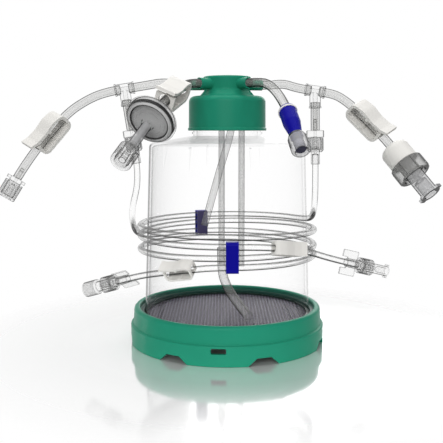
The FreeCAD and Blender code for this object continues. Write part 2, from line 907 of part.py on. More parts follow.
def filter_half_shape(radius, disc_seat):
    """One housing half on +Z: plate, rim, chamber, hub and barbed port."""
    low = filter_disc / 2
    body = turned([
        (through_r, filter_half - filter_plate, 0),
        (filter_chamber_r, filter_half - filter_plate, 0.3),
        (filter_chamber_r, low, 0),
        (radius, low, 0.3),
        (radius, filter_half - 0.9, 0.7),
        (radius - 2.2, filter_half - 0.2, 0.4),
        (radius - 2.9, filter_half - 0.7, 0.3),
        (radius - 4.6, filter_half - 0.7, 0.3),
        (filter_hub_r + 1.6, filter_half, 0.4),
        (filter_hub_r, filter_half + 0.8, 0.4),
        (filter_hub_r - 0.5, filter_hub_z, 0.3),
        (through_r, filter_hub_z, 0),
    ])
    if disc_seat:
        body = body.fuse(turned([
            (filter_disc_r + glue_gap, -low, 0),
            (radius, -low, 0.2),
            (radius, low, 0),
            (filter_disc_r + glue_gap, low, 0),
        ]))
    tail = barb(line_bore_r, barb_length)
    tail.rotate(vec(0, 0, 0), vec(1, 0, 0), 180)
    tail.translate(vec(0, 0, filter_hub_z))
    body = body.fuse(tail)
    ribs = []
    for i in range(filter_rib_count):
        rib = Part.makeBox(
            filter_chamber_r - through_r - 1.5, filter_rib, filter_chamber * 0.6,
            vec(through_r + 1.0, -filter_rib / 2, filter_half - filter_plate - filter_chamber * 0.6))
        rib.rotate(vec(0, 0, 0), vec(0, 0, 1), 360.0 * i / filter_rib_count)
        ribs.append(rib)
    for rib in ribs:
        body = body.fuse(rib)
    return body.removeSplitter()


def vent_filter(centre, axis):
    front = filter_half_shape(filter_front_r, False)
    back = filter_half_shape(filter_r, True)
    back.rotate(vec(0, 0, 0), vec(1, 0, 0), 180)
    save("filter_front", placed(front, centre, axis))
    save("filter_back", placed(back, centre, axis))
    disc = Part.makeCylinder(filter_disc_r, filter_disc, vec(0, 0, -filter_disc / 2))
    save("filter_disc", placed(disc, centre, axis))
    start = centre + axis * filter_hub_z
    end = start + axis * outlet_length
    save("filter_outlet_tube", pipe_between(line_r, line_bore_r, start, end))
    save("filter_socket", placed(female_luer(line_bore_r, end_hub, end_hub_r, end_body), end, axis))
    save("filter_cap", placed(luer_cap(end_cap_start, end_cap_length, end_cap_r, end_mouth), end, axis))


end_hub = 3.0
end_hub_r = 4.4
end_body = 10.5
end_mouth = end_hub + end_body
end_cap_start = end_hub + running_gap


# ---- Sample port, made along +Z from the tube's end side
def sample_port(origin, axis):
    seat = line_r + glue_gap
    sleeve = turned([
        (seat, 0, 0.2),
        (sample_barrel_r, 0, 0.5),
        (sample_barrel_r, sample_barrel * 0.5, 6.0),
        (sample_waist_r, sample_barrel * 0.88, 6.0),
        (sample_waist_r, sample_barrel, 0),
        (line_bore_r, sample_barrel, 0),
        (line_bore_r, socket_depth, 0),
        (seat, socket_depth, 0),
    ])
    ring_gap = sample_barrel_r + glue_gap
    ring = turned([
        (ring_gap, 1.4, 0),
        (sample_ring_r, 1.4, 0.3),
        (sample_ring_r, 1.4 + sample_ring, 0.3),
        (ring_gap, 1.4 + sample_ring, 0),
    ])
    top = sample_barrel - 1.6
    end = sample_barrel + sample_end
    shroud = turned([
        (sample_waist_r + glue_gap, top, 0),
        (sample_waist_r + 1.0, top, 0.3),
        (sample_end_r, top + 3.2, 1.5),
        (sample_end_r, end, 2.2),
        (sample_bore_r + 0.8, end, 0.3),
        (sample_bore_r, end - piston_recess, 0),
        (sample_bore_r, sample_barrel, 0),
        (sample_waist_r + glue_gap, sample_barrel, 0),
    ])
    piston_end = end - piston_recess
    piston = turned([
        (0, piston_end - piston_length, 0),
        (sample_bore_r - 0.1, piston_end - piston_length, 0.4),
        (sample_bore_r - 0.1, piston_end, 0.5),
        (0, piston_end, 0),
    ])
    save("sample_sleeve", placed(sleeve, origin, axis))
    save("sample_ring", placed(ring, origin, axis))
    save("sample_shroud", placed(shroud, origin, axis))
    save("sample_piston", placed(piston, origin, axis))


# ---- Quick coupling, made along +Z from the body's tube end
def quick_coupling(origin, axis):
    seat = line_r + glue_gap
    pocket = coupling_body - 4.0
    body = turned([
        (seat, 0, 0.3),
        (coupling_r, 0, coupling_round),
        (coupling_r, coupling_body, 0.5),
        (coupling_stub_r + glue_gap, coupling_body, 0.3),
        (coupling_stub_r + glue_gap, pocket, 0),
        (line_bore_r, pocket, 0),
        (line_bore_r, socket_depth, 0),
        (seat, socket_depth, 0),
    ])
    ring_start = coupling_body + running_gap
    ring_end = ring_start + coupling_ring
    ring = turned([
        (coupling_stub_r + running_gap, ring_start, 0.3),
        (coupling_ring_r, ring_start, 1.2),
        (coupling_ring_r, ring_end, 1.6),
        (coupling_stub_r + 2.4, ring_end, 0.4),
        (coupling_stub_r + 2.4, ring_end - 2.5, 0.4),
        (coupling_stub_r + running_gap, ring_end - 2.5, 0.3),
    ])
    grips = []
    for i in range(6):
        place = around(60.0 * i, coupling_ring_r + 2.2, ring_start)
        grips.append(Part.makeCylinder(3.2, coupling_ring, place))
    ring = ring.cut(Part.makeCompound(grips))
    end = ring_end + coupling_stub
    stub = turned([
        (line_bore_r, pocket, 0),
        (coupling_stub_r, pocket, 0.3),
        (coupling_stub_r, end - coupling_flange, 0.5),
        (coupling_flange_r - 1.4, end - coupling_flange, 0.3),
        (coupling_flange_r - 1.4, end, 0.3),
        (coupling_bore_r, end, 0.3),
        (coupling_bore_r, end - coupling_bore, 0.4),
        (line_bore_r, end - coupling_bore, 0),
    ])
    for sign in (-1, 1):
        low = coupling_stub_r - 0.5 if sign > 0 else -coupling_flange_r
        reach = coupling_flange_r - coupling_stub_r + 0.5
        stub = stub.fuse(Part.makeBox(reach, 5.0, coupling_flange, vec(low, -2.5, end - coupling_flange)))
    save("coupling_body", placed(body, origin, axis))
    save("coupling_ring", placed(ring, origin, axis))
    save("coupling_stub", placed(stub.removeSplitter(), origin, axis))
    return origin + axis * end


# ---- Straps: a closed band round the strands that pass at one azimuth
def strap(name, azimuth, low, high, radius, bulge):
    half = coil_tube_r + strap_room
    bottom = low - half - strap_wall
    top = high + half + strap_wall
    inner_r = max(vessel_r(bottom), vessel_r(top)) + strap_gap
    outer = plate([
        (inner_r, bottom, 1.2),
        (radius + bulge + half + strap_wall, bottom, 2.0),
        (radius + bulge + half + strap_wall, top, 2.0),
        (inner_r, top, 1.2),
    ], strap_width)
    hole = plate([
        (radius - half, low - half, 1.0),
        (radius + bulge + half, low - half, 1.5),
        (radius + bulge + half, high + half, 1.5),
        (radius - half, high + half, 1.0),
    ], strap_width + 2)
    band = outer.cut(hole)
    band.rotate(vec(0, 0, 0), vec(0, 0, 1), azimuth - 90)
    return save(name, band)


# ---- The lines.  Heights of the upper lines hang from the ports' height.
def hang(x, y, drop):
    return vec(x, y, port_z - drop)


left_tee = Tee("left_tee", hang(-73.1, 9.0, 2.6), (-0.985, -0.06, -0.16), (0.156, -0.10, -0.983))
right_tee = Tee("right_tee", hang(62.0, 3.0, 4.3), (0.955, -0.25, -0.16), (0.01, -0.04, -1.0))


def port_start(name, length):
    azimuth = ports[name][0]
    return [around(azimuth, socket_floor_r, port_z), around(azimuth, socket_floor_r + length, port_z)]


def upper_lines():
    tube("left_inner_tube", port_start("rear_left", 12.6) + [
        hang(-45.4, 9.6, -2.2),
        left_tee.arm(-1) - left_tee.run * 11.0,
        left_tee.arm(-1),
    ], line_r, line_bore_r)
    tube("right_inner_tube", port_start("rear_right", 12.0) + [
        hang(40.2, 9.8, -1.3),
        right_tee.arm(-1) - right_tee.run * 10.0,
        right_tee.arm(-1),
    ], line_r, line_bore_r)
    tube("left_outer_tube", left_line, line_r, line_bore_r)
    tube("right_outer_tube", right_line, line_r, line_bore_r)
    tube("filter_tube", filter_line, line_r, line_bore_r)
    tube("sample_tube", sample_line, line_r, line_bore_r)


left_end_axis = vec(-0.5, -0.2, -0.85).normalize()
left_end = hang(-146.3, -11.0, 64.9)
left_line = [
    left_tee.arm(1),
    left_tee.arm(1) + left_tee.run * 10.5,
    hang(-100.0, 5.6, 10.6),
    hang(-114.6, 2.4, 21.0),
    left_end - left_end_axis * 19.5,
    left_end,
]
right_end_axis = vec(0.50, -0.50, -0.707).normalize()
right_end = hang(112.4, -18.2, 43.2)
right_line = [
    right_tee.arm(1),
    right_tee.arm(1) + right_tee.run * 7.5,
    hang(79.3, -1.0, 8.7),
    hang(89.6, -5.0, 17.2),
    right_end - right_end_axis * 11.0,
    right_end + right_end_axis * socket_depth,
]
filter_axis = vec(-0.342, -0.746, -0.573).normalize()
filter_centre = hang(-46.8, -76.0, 25.7)
filter_line_end = filter_centre - filter_axis * filter_hub_z
filter_line = port_start("vent", 12.6) + [
    hang(-29.6, -33.6, 3.4),
    filter_line_end - filter_axis * 15.5,
    filter_line_end,
]
sample_axis = vec(0.164, -0.753, -0.633).normalize()
sample_origin = hang(37.4, -54.0, 19.0)
sample_line = port_start("sample", 13.0) + [
    hang(27.5, -39.0, 1.6),
    sample_origin + sample_axis * (socket_depth - 14.0),
    sample_origin + sample_axis * socket_depth,
]


# ---- The coil: angles here run counter-clockwise from +X, heights are read between knots
coil_mean_r = max(vessel_r(coil_low_z), vessel_r(coil_high_z)) + coil_gap + coil_tube_r
coil_r = coil_mean_r / math.cos(math.pi / coil_points)


def height_at(knots, angle):
    for (a, low), (b, high) in zip(knots, knots[1:]):
        if min(a, b) <= angle <= max(a, b):
            return low + (high - low) * (angle - a) / (b - a)


def winding(first, count, step, knots):
    points = []
    for i in range(count):
        angle = first + i * step
        points.append(beside(angle, 0, height_at(knots, angle)))
    return points


def beside(angle, out, z):
    """A point that stands out from the coil's own radius."""
    turn = math.radians(angle)
    return vec((coil_r + out) * math.cos(turn), (coil_r + out) * math.sin(turn), z)


class Drop:
    """The line from a tee's stem down to the coil: stem tube, luer lock and where the coil starts."""

    def __init__(self, side, tee, bend, foot):
        self.side = side
        self.route = [tee.foot(), tee.foot() + tee.stem * bend, foot]
        self.origin = foot
        self.axis = (foot - self.route[1]).normalize()
        self.seat = foot + self.axis * drop_seat

    def build(self):
        tube(self.side + "_stem_tube", self.route, line_r, line_bore_r)
        drop_connector(self.side, self.origin, self.axis)


right_knots = [
    (0, coil_high_z), (180, 83.5), (270, 82.9), (360, 80.6),
    (450, 78.9), (540, 76.9), (660, 76.4)]
left_knots = [
    (180, 72.0), (90, 71.0), (0, 69.8), (-90, 69.4),
    (-180, 67.1), (-270, 65.4), (-360, coil_low_z), (-480, coil_low_z)]
right_drop = Drop("right", right_tee, 10.5, vec(62.3, 1.7, 150.2))
left_drop = Drop("left", left_tee, 11.0, vec(-68.4, 6.2, 150.3))
low_axes = {
    "right": vec(0.905, 0.36, -0.255).normalize(),
    "left": vec(-0.872, 0.385, -0.301).normalize(),
}
wing_sides = {"right": vec(0, 0, 1), "left": vec(0, -0.7, 0.7)}  # where one wing of each hub points
low_ends = {"right": beside(-17.8, 30.0, 59.3), "left": beside(-154.1, 19.7, 49.2)}
right_coil = [
    right_drop.seat,
    right_drop.seat + right_drop.axis * 18.0,
    beside(-1.5, -0.7, 97.0),
    beside(7.9, -0.7, 87.0),
] + winding(24.0, 27, 360.0 / coil_points, right_knots) + [
    beside(-88.5, -0.9, 76.6),
    beside(-77.1, 1.8, 76.8),
    beside(-66.3, 5.3, 76.4),
    beside(-46.2, 8.6, 73.2),
    low_ends["right"] - low_axes["right"] * 21.0,
    low_ends["right"],
]
left_coil = [
    left_drop.seat,
    left_drop.seat + left_drop.axis * 18.0,
    beside(-177.5, 4.8, 94.4),
    beside(177.1, 5.0, 83.2),
    beside(168.9, 3.6, 74.4),
    beside(150.0, 0, 71.5),
] + winding(127.5, 27, -360.0 / coil_points, left_knots) + [
    beside(-108.7, 2.6, 62.4),
    beside(-128.1, 4.2, 58.6),
    low_ends["left"] - low_axes["left"] * 17.2,
    low_ends["left"],
]


def coil_tubes():
    tube("right_coil_tube", right_coil, coil_tube_r, coil_bore_r)
    tube("left_coil_tube", left_coil, coil_tube_r, coil_bore_r)


def low_fittings():
    for side in ("left", "right"):
        origin = low_ends[side]
        axis = low_axes[side]
        save(side + "_low_hub", placed(low_hub(), origin, axis, wing_sides[side]))
        save(side + "_low_ring", placed(low_ring(), origin, axis))
    save("left_low_plug", placed(low_plug(), low_ends["left"], low_axes["left"]))
    save("right_low_socket", placed(low_socket(), low_ends["right"], low_axes["right"]))


def left_line_end():
    fitting = female_luer(line_bore_r, end_hub, end_hub_r, end_body, 6.6)
    cover = luer_cap(end_cap_start, end_cap_length, end_cap_r, end_mouth)
    save("left_end_socket", placed(fitting, left_end, left_end_axis))
    save("left_end_cap", placed(cover, left_end, left_end_axis))


# ---- Clamps: the run of the line each one rides on, where along it, and its lipped side
clamps = {
    "left_clamp": (clamp_large, line_r, left_line, 3, 0.50, (-0.511, -0.731, 0.45)),
    "filter_clamp": (clamp_large, line_r, filter_line, 2, 0.60, (0.30, -0.407, 0.866)),
    "right_clamp": (clamp_large, line_r, right_line, 3, 0.50, (0.45, -0.731, 0.511)),
    "left_low_clamp": (clamp_small, coil_tube_r, left_coil, len(left_coil) - 4, 0.52, (0.0, -0.55, 0.83)),
    "right_low_clamp": (clamp_small, coil_tube_r, right_coil, len(right_coil) - 4, 0.50, (0.1, -0.96, 0.25)),
}


def build_clamps():
    for name, (sizes, tube_r, line, run, share, up) in clamps.items():
        way = line[run + 1] - line[run]
        clamp(name, sizes, tube_r, line[run] + way * share, way, up)


def straps():
    for name, (azimuth, low, high, bulge) in strap_spans.items():
        strap(name + "_strap", azimuth, low, high, coil_mean_r, bulge)


front_angle = 270 + strap_azimuths["front"]
rear_angle = strap_azimuths["rear"] - 90
# azimuth, lowest and highest strand, and how far the outer leg bulges
strap_spans = {
    "front": (
        strap_azimuths["front"],
        height_at(left_knots, front_angle - 720),
        height_at(right_knots, front_angle + 360),
        0.8),
    "rear": (
        strap_azimuths["rear"],
        height_at(left_knots, rear_angle),
        height_at(right_knots, rear_angle),
        0.0),
}


def build_all():
    base_ring()
    support_tray()
    support_mesh()
    floor_membrane()
    foot_seal()
    vessel()
    cap()
    cap_gasket()
    dip_tubes()
    left_tee.build()
    right_tee.build()
    upper_lines()
    left_drop.build()
    right_drop.build()
    coil_tubes()
    low_fittings()
    left_line_end()
    vent_filter(filter_centre, filter_axis)
    sample_port(sample_origin, sample_axis)
    quick_coupling(right_end, right_end_axis)
    build_clamps()
    straps()


if __name__ == "__main__":
    build_all()
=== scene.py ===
import json
import math

import bmesh
import bpy
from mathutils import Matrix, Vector


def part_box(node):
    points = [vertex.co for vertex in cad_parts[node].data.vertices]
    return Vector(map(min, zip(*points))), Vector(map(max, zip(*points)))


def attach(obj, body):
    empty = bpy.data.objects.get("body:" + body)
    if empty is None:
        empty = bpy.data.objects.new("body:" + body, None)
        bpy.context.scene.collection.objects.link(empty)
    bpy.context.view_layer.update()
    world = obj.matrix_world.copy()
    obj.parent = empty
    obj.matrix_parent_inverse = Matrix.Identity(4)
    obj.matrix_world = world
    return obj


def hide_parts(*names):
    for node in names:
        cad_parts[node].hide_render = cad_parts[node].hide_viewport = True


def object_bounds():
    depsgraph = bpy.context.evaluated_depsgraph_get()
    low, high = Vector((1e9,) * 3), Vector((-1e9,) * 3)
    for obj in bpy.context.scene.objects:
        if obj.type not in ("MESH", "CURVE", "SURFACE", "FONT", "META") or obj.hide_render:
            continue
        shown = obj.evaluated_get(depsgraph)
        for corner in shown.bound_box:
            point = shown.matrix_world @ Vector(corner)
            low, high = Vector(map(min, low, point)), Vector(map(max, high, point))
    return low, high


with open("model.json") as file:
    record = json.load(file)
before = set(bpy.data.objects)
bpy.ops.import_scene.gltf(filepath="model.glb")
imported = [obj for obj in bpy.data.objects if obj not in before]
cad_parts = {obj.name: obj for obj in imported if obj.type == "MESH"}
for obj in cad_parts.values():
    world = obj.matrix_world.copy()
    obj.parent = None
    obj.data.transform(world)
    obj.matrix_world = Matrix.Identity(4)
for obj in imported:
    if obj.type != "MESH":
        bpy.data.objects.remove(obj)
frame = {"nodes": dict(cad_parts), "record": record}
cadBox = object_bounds()
nodes = frame["nodes"]
mm = 0.001
print("frame loaded:", len(nodes), "nodes")

camera = {"place": (-0.004, -0.530, 0.1506), "tilt": 83.0, "lens": 60.62, "film": 36, "near": 0.01}

eye = bpy.data.objects.new("camera", bpy.data.cameras.new("camera"))
bpy.context.scene.collection.objects.link(eye)
eye.location = camera["place"]
eye.rotation_euler = (math.radians(camera["tilt"]), 0, 0)
eye.data.lens = camera["lens"]
eye.data.sensor_width = camera["film"]
eye.data.clip_start = camera["near"]
bpy.context.scene.camera = eye

slots = {entry["node"]: entry["material_slot"] for entry in frame["record"]["subparts"]}

# routes of the tubing, in metres
ports = {  # azimuth from the front, and the height of all four
    "height": 0.1821, "start": 0.0196,
    "rearLeft": -103, "vent": -48, "sample": 34, "rearRight": 110}
coil = {"radius": 0.0629, "perTurn": 16}


def portRun(azimuth, length):  # first two points, straight out of a port
    side, front = math.sin(math.radians(azimuth)), -math.cos(math.radians(azimuth))
    reach = (ports["start"], ports["start"] + length)
    return [(r * side, r * front, ports["height"]) for r in reach]


def heightAt(knots, angle):
    for (a, low), (b, high) in zip(knots, knots[1:]):
        if min(a, b) <= angle <= max(a, b):
            return low + (high - low) * (angle - a) / (b - a)


def winding(first, count, direction, knots):  # points round the vessel, one after the other
    step = direction * 360 / coil["perTurn"]
    points = []
    for i in range(count):
        angle = first + i * step
        side, front = math.cos(math.radians(angle)), math.sin(math.radians(angle))
        points.append((coil["radius"] * side, coil["radius"] * front, heightAt(knots, angle)))
    return points


tubeDetail = {"along": 12, "around": 20}

leftInner = {
    "points": portRun(ports["rearLeft"], 0.0126) + [
        (-0.0454, 0.0096, 0.1843), (-0.0593, 0.0098, 0.1817), (-0.0701, 0.0092, 0.18)],
    "outer": 3.15, "bore": 1.6, "length": 0.052}
rightInner = {
    "points": portRun(ports["rearRight"], 0.012) + [
        (0.0402, 0.0098, 0.1834), (0.0496, 0.0063, 0.1799), (0.0591, 0.0038, 0.1783)],
    "outer": 3.15, "bore": 1.6, "length": 0.0428}
leftOuter = {
    "points": [
        (-0.0761, 0.0088, 0.179), (-0.0864, 0.0082, 0.1773), (-0.1, 0.0056, 0.1715),
        (-0.1146, 0.0024, 0.1611), (-0.1366, -0.0071, 0.1337), (-0.1463, -0.011, 0.1172)],
    "outer": 3.15, "bore": 1.6, "length": 0.0994}
rightOuter = {
    "points": [
        (0.0649, 0.0023, 0.1773), (0.072, 0.0004, 0.1761), (0.0793, -0.001, 0.1734),
        (0.0896, -0.005, 0.1649), (0.1069, -0.0127, 0.1467), (0.1156, -0.0214, 0.1344)],
    "outer": 3.15, "bore": 1.6, "length": 0.0728}
ventLine = {
    "points": portRun(ports["vent"], 0.0126) + [
        (-0.0296, -0.0336, 0.1787), (-0.0393, -0.0597, 0.1689), (-0.0446, -0.0712, 0.1601)],
    "outer": 3.15, "bore": 1.6, "length": 0.071}
sampleLine = {
    "points": portRun(ports["sample"], 0.013) + [
        (0.0275, -0.039, 0.1805), (0.0362, -0.0483, 0.1679), (0.0385, -0.0588, 0.159)],
    "outer": 3.15, "bore": 1.6, "length": 0.0594}
rightCoil = {
    "knots": [
        (0, 0.0849), (180, 0.0835), (270, 0.0829), (360, 0.0806), (450, 0.0789), (540, 0.0769),
        (660, 0.0764)],
    "outer": 2.2, "bore": 1.4, "length": 0.8226}
rightCoil["points"] = [
    (0.0625, 0.0007, 0.1337), (0.0627, -0.0004, 0.1158), (0.0624, -0.0016, 0.097),
    (0.0618, 0.0086, 0.087),
] + winding(24, 27, 1, rightCoil["knots"]) + [
    (0.0016, -0.0622, 0.0766), (0.0145, -0.0632, 0.0768), (0.0275, -0.0626, 0.0764),
    (0.0496, -0.0518, 0.0732), (0.0697, -0.036, 0.0646), (0.0886, -0.0285, 0.0593)]
leftCoil = {
    "knots": [
        (180, 0.072), (90, 0.071), (0, 0.0698), (-90, 0.0694), (-180, 0.0671), (-270, 0.0654),
        (-360, 0.0634), (-480, 0.0634)],
    "outer": 2.2, "bore": 1.4, "length": 0.8185}
leftCoil["points"] = [
    (-0.0657, 0.0048, 0.1341), (-0.0628, 0.0033, 0.1164), (-0.0678, -0.003, 0.0944),
    (-0.068, 0.0034, 0.0832), (-0.0654, 0.0128, 0.0744), (-0.0546, 0.0315, 0.0715),
] + winding(127.5, 27, -1, leftCoil["knots"]) + [
    (-0.021, -0.0622, 0.0624), (-0.0415, -0.053, 0.0586), (-0.0594, -0.0428, 0.0544),
    (-0.0744, -0.0362, 0.0492)]
sampleDip = {
    "points": [
        (0.0051, -0.0076, 0.1764), (0.0051, -0.0076, 0.1564), (-0.0061, -0.0106, 0.1204),
        (-0.0159, -0.0137, 0.0844)],
    "outer": 2.5, "bore": 1.4, "length": 0.0951}
dipTip = {
    "points": [
        (-0.0039, 0.0009, 0.0664), (-0.0039, 0.0009, 0.0494), (-0.0011, -0.0037, 0.041),
        (0.0049, -0.0141, 0.0318), (0.0145, -0.0306, 0.0236)],
    "outer": 3.3, "bore": 2.3, "length": 0.0625}


def addPiece(name, mesh):
    piece = bpy.data.objects.new(name, mesh)
    bpy.context.scene.collection.objects.link(piece)
    return piece


def centreLine(name, points):  # a smooth line that the points pull on, and the places along it
    curve = bpy.data.curves.new(name, "CURVE")
    curve.dimensions = "3D"
    spline = curve.splines.new("NURBS")
    spline.points.add(len(points) - 1)
    for point, place in zip(spline.points, points):
        point.co = (*place, 1)
    spline.order_u = 3
    spline.use_endpoint_u = True
    spline.resolution_u = tubeDetail["along"]
    holder = addPiece(name, curve)
    bpy.context.view_layer.update()
    line = bpy.data.meshes.new_from_object(holder)
    places = [v.co.copy() for v in line.vertices]
    bpy.data.objects.remove(holder)
    bpy.data.meshes.remove(line)
    clean = places[:1]
    for place in places[1:]:
        if (place - clean[-1]).length > 1e-5:
            clean.append(place)
    return clean


def tubeMesh(name, places, outer, bore, around):  # a hollow tube, its ends closed by rings
    build = bmesh.new()
    ways = []
    for i in range(len(places)):
        ways.append((places[min(i + 1, len(places) - 1)] - places[max(i - 1, 0)]).normalized())
    side = ways[0].orthogonal().normalized()
    rings = []
    for place, way in zip(places, ways):
        side = (side - way * side.dot(way)).normalized()
        other = way.cross(side)
        for radius in (outer, bore):
            ring = []
            for j in range(around):
                turn = 2 * math.pi * j / around
                out = side * math.cos(turn) + other * math.sin(turn)
                ring.append(build.verts.new(place + out * radius))
            rings.append(ring)
    last = len(places) - 1
    for i in range(last):
        for inside in (0, 1):
            a, b = rings[2 * i + inside], rings[2 * i + 2 + inside]
            for j in range(around):
                k = (j + 1) % around
                corners = [a[j], a[k], b[k], b[j]]
                face = build.faces.new(corners[::-1] if inside else corners)
                face.smooth = True
                face.material_index = inside
    for i, flip in ((0, False), (last, True)):
        a, b = rings[2 * i], rings[2 * i + 1]
        for j in range(around):
            k = (j + 1) % around
            corners = [a[k], a[j], b[j], b[k]]
            build.faces.new(corners[::-1] if flip else corners)
    mesh = bpy.data.meshes.new(name)
    build.to_mesh(mesh)
    build.free()
    return mesh


def layTube(name, spec, node):
    places = centreLine(name, spec["points"])
    outer, bore = spec["outer"] * mm, spec["bore"] * mm
    piece = addPiece(name, tubeMesh(name, places, outer, bore, tubeDetail["around"]))
    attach(piece, "fixed_set")
    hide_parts(node)
    2 * outer
    return piece, node


tubes = [
    layTube("leftInnerTube", leftInner, "left_inner_tube"),
    layTube("rightInnerTube", rightInner, "right_inner_tube"),
    layTube("leftOuterTube", leftOuter, "left_outer_tube"),
    layTube("rightOuterTube", rightOuter, "right_outer_tube"),
    layTube("ventTube", ventLine, "filter_tube"),
    layTube("sampleTube", sampleLine, "sample_tube"),
    layTube("rightCoilTube", rightCoil, "right_coil_tube"),
    layTube("leftCoilTube", leftCoil, "left_coil_tube"),
    layTube("sampleDipTube", sampleDip, "sample_dip_tube"),
    layTube("dipTip", dipTip, "dip_tip"),
]
print("tubing laid:", len(tubes))


def sharpen(build, limit):  # smooth faces, with the edges steeper than the limit kept crisp
    for face in build.faces:
        face.smooth = True
    for edge in build.edges:
        edge.smooth = edge.calc_face_angle(0) < limit


def turnedMesh(name, profile, spec, centre):  # a closed outline of (radius, height) turned about an axis
    axis = Vector(spec["axis"]).normalized()
    side = axis.orthogonal().normalized()
    other = axis.cross(side)
    build = bmesh.new()
    rings = []
    for i in range(spec["around"]):
        turn = 2 * math.pi * i / spec["around"]
        out = side * math.cos(turn) + other * math.sin(turn)
        places = [centre + (out * radius + axis * height) * mm for radius, height in profile]
        rings.append([build.verts.new(place) for place in places])
    for i in range(spec["around"]):
        a, b = rings[i], rings[(i + 1) % spec["around"]]
        for j in range(len(profile)):
            k = (j + 1) % len(profile)
            build.faces.new([a[j], b[j], b[k], a[k]])
    bmesh.ops.recalc_face_normals(build, faces=build.faces)
    sharpen(build, math.radians(spec["crisp"]))
    mesh = bpy.data.meshes.new(name)
    build.to_mesh(mesh)
    build.free()
    return mesh


filterFace = {  # the vent filter's outer half, with round steps moulded in its face
    "axis": (-0.342, -0.746, -0.573), "around": 96, "crisp": 32,
    "rim": [
        (1.0, 1.7), (12.9, 1.7), (13.1, 0.25), (14.9, 0.25), (15.2, 0.55), (15.2, 1.5), (14.95, 1.95),
        (14.5, 2.1)],
    "stepsOut": [(14.1, 1.75), (13.8, 1.75), (13.5, 2.55), (13.0, 2.9), (12.5, 2.75), (12.1, 2.2)],
    "ridges": (10.6, 8.0), "face": 2.25, "ridge": (0.7, 0.5),
    "hub": [(5.6, 2.25), (5.0, 2.5), (4.4, 3.3), (3.9, 4.2), (3.7, 6.2), (3.5, 6.4), (1.75, 6.4)],
    "tail": [(1.7, 8.6), (1.5, 9.0), (1.7, 11.4), (1.5, 11.8), (1.65, 13.8), (1.4, 14.4), (1.0, 14.4)]}


def middle(node):
    low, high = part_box(node)
    return (Vector(low) + Vector(high)) / 2


def buildFilterFace(spec):
    ridges = []
    half, rise = spec["ridge"]
    low, high = spec["face"], spec["face"] + rise
    for radius in spec["ridges"]:
        ridges += [
            (radius + half, low), (radius + half / 2, high), (radius - half / 2, high), (radius - half, low)]
    profile = spec["rim"] + spec["stepsOut"] + ridges + spec["hub"] + spec["tail"]
    piece = addPiece("filterFace", turnedMesh("filterFace", profile, spec, middle("filter_disc")))
    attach(piece, "fixed_set")
    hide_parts("filter_front")
    return piece, "filter_front"


faces = [buildFilterFace(filterFace)]
print("filter face built")


class Wire:  # one output of a node tree, so that shader maths reads as sums
    def __init__(self, tree, socket):
        self.tree = tree
        self.socket = socket

    def clamp(self):
        held = self.math("ADD", self, 0.0)
        held.socket.node.use_clamp = True
        return held

    def math(self, operation, *inputs):
        node = self.tree.nodes.new("ShaderNodeMath")
        node.operation = operation
        for socket, value in zip(node.inputs, inputs):
            plug(self.tree, socket, value)
        return Wire(self.tree, node.outputs[0])

    def __add__(self, other):
        return self.math("ADD", self, other)

    def __radd__(self, other):
        return self.math("ADD", other, self)

    def __sub__(self, other):
        return self.math("SUBTRACT", self, other)

    def __rsub__(self, other):
        return self.math("SUBTRACT", other, self)

    def __mul__(self, other):
        return self.math("MULTIPLY", self, other)

    def __rmul__(self, other):
        return self.math("MULTIPLY", other, self)

    def __pow__(self, other):
        return self.math("POWER", self, other)

    def __lt__(self, other):
        return self.math("LESS_THAN", self, other)


def plug(tree, socket, value):
    if isinstance(value, Wire):
        tree.links.new(value.socket, socket)
    elif isinstance(value, (tuple, list)) and len(value) == 3 and socket.type == "RGBA":
        socket.default_value = (*value, 1)
    else:
        socket.default_value = value


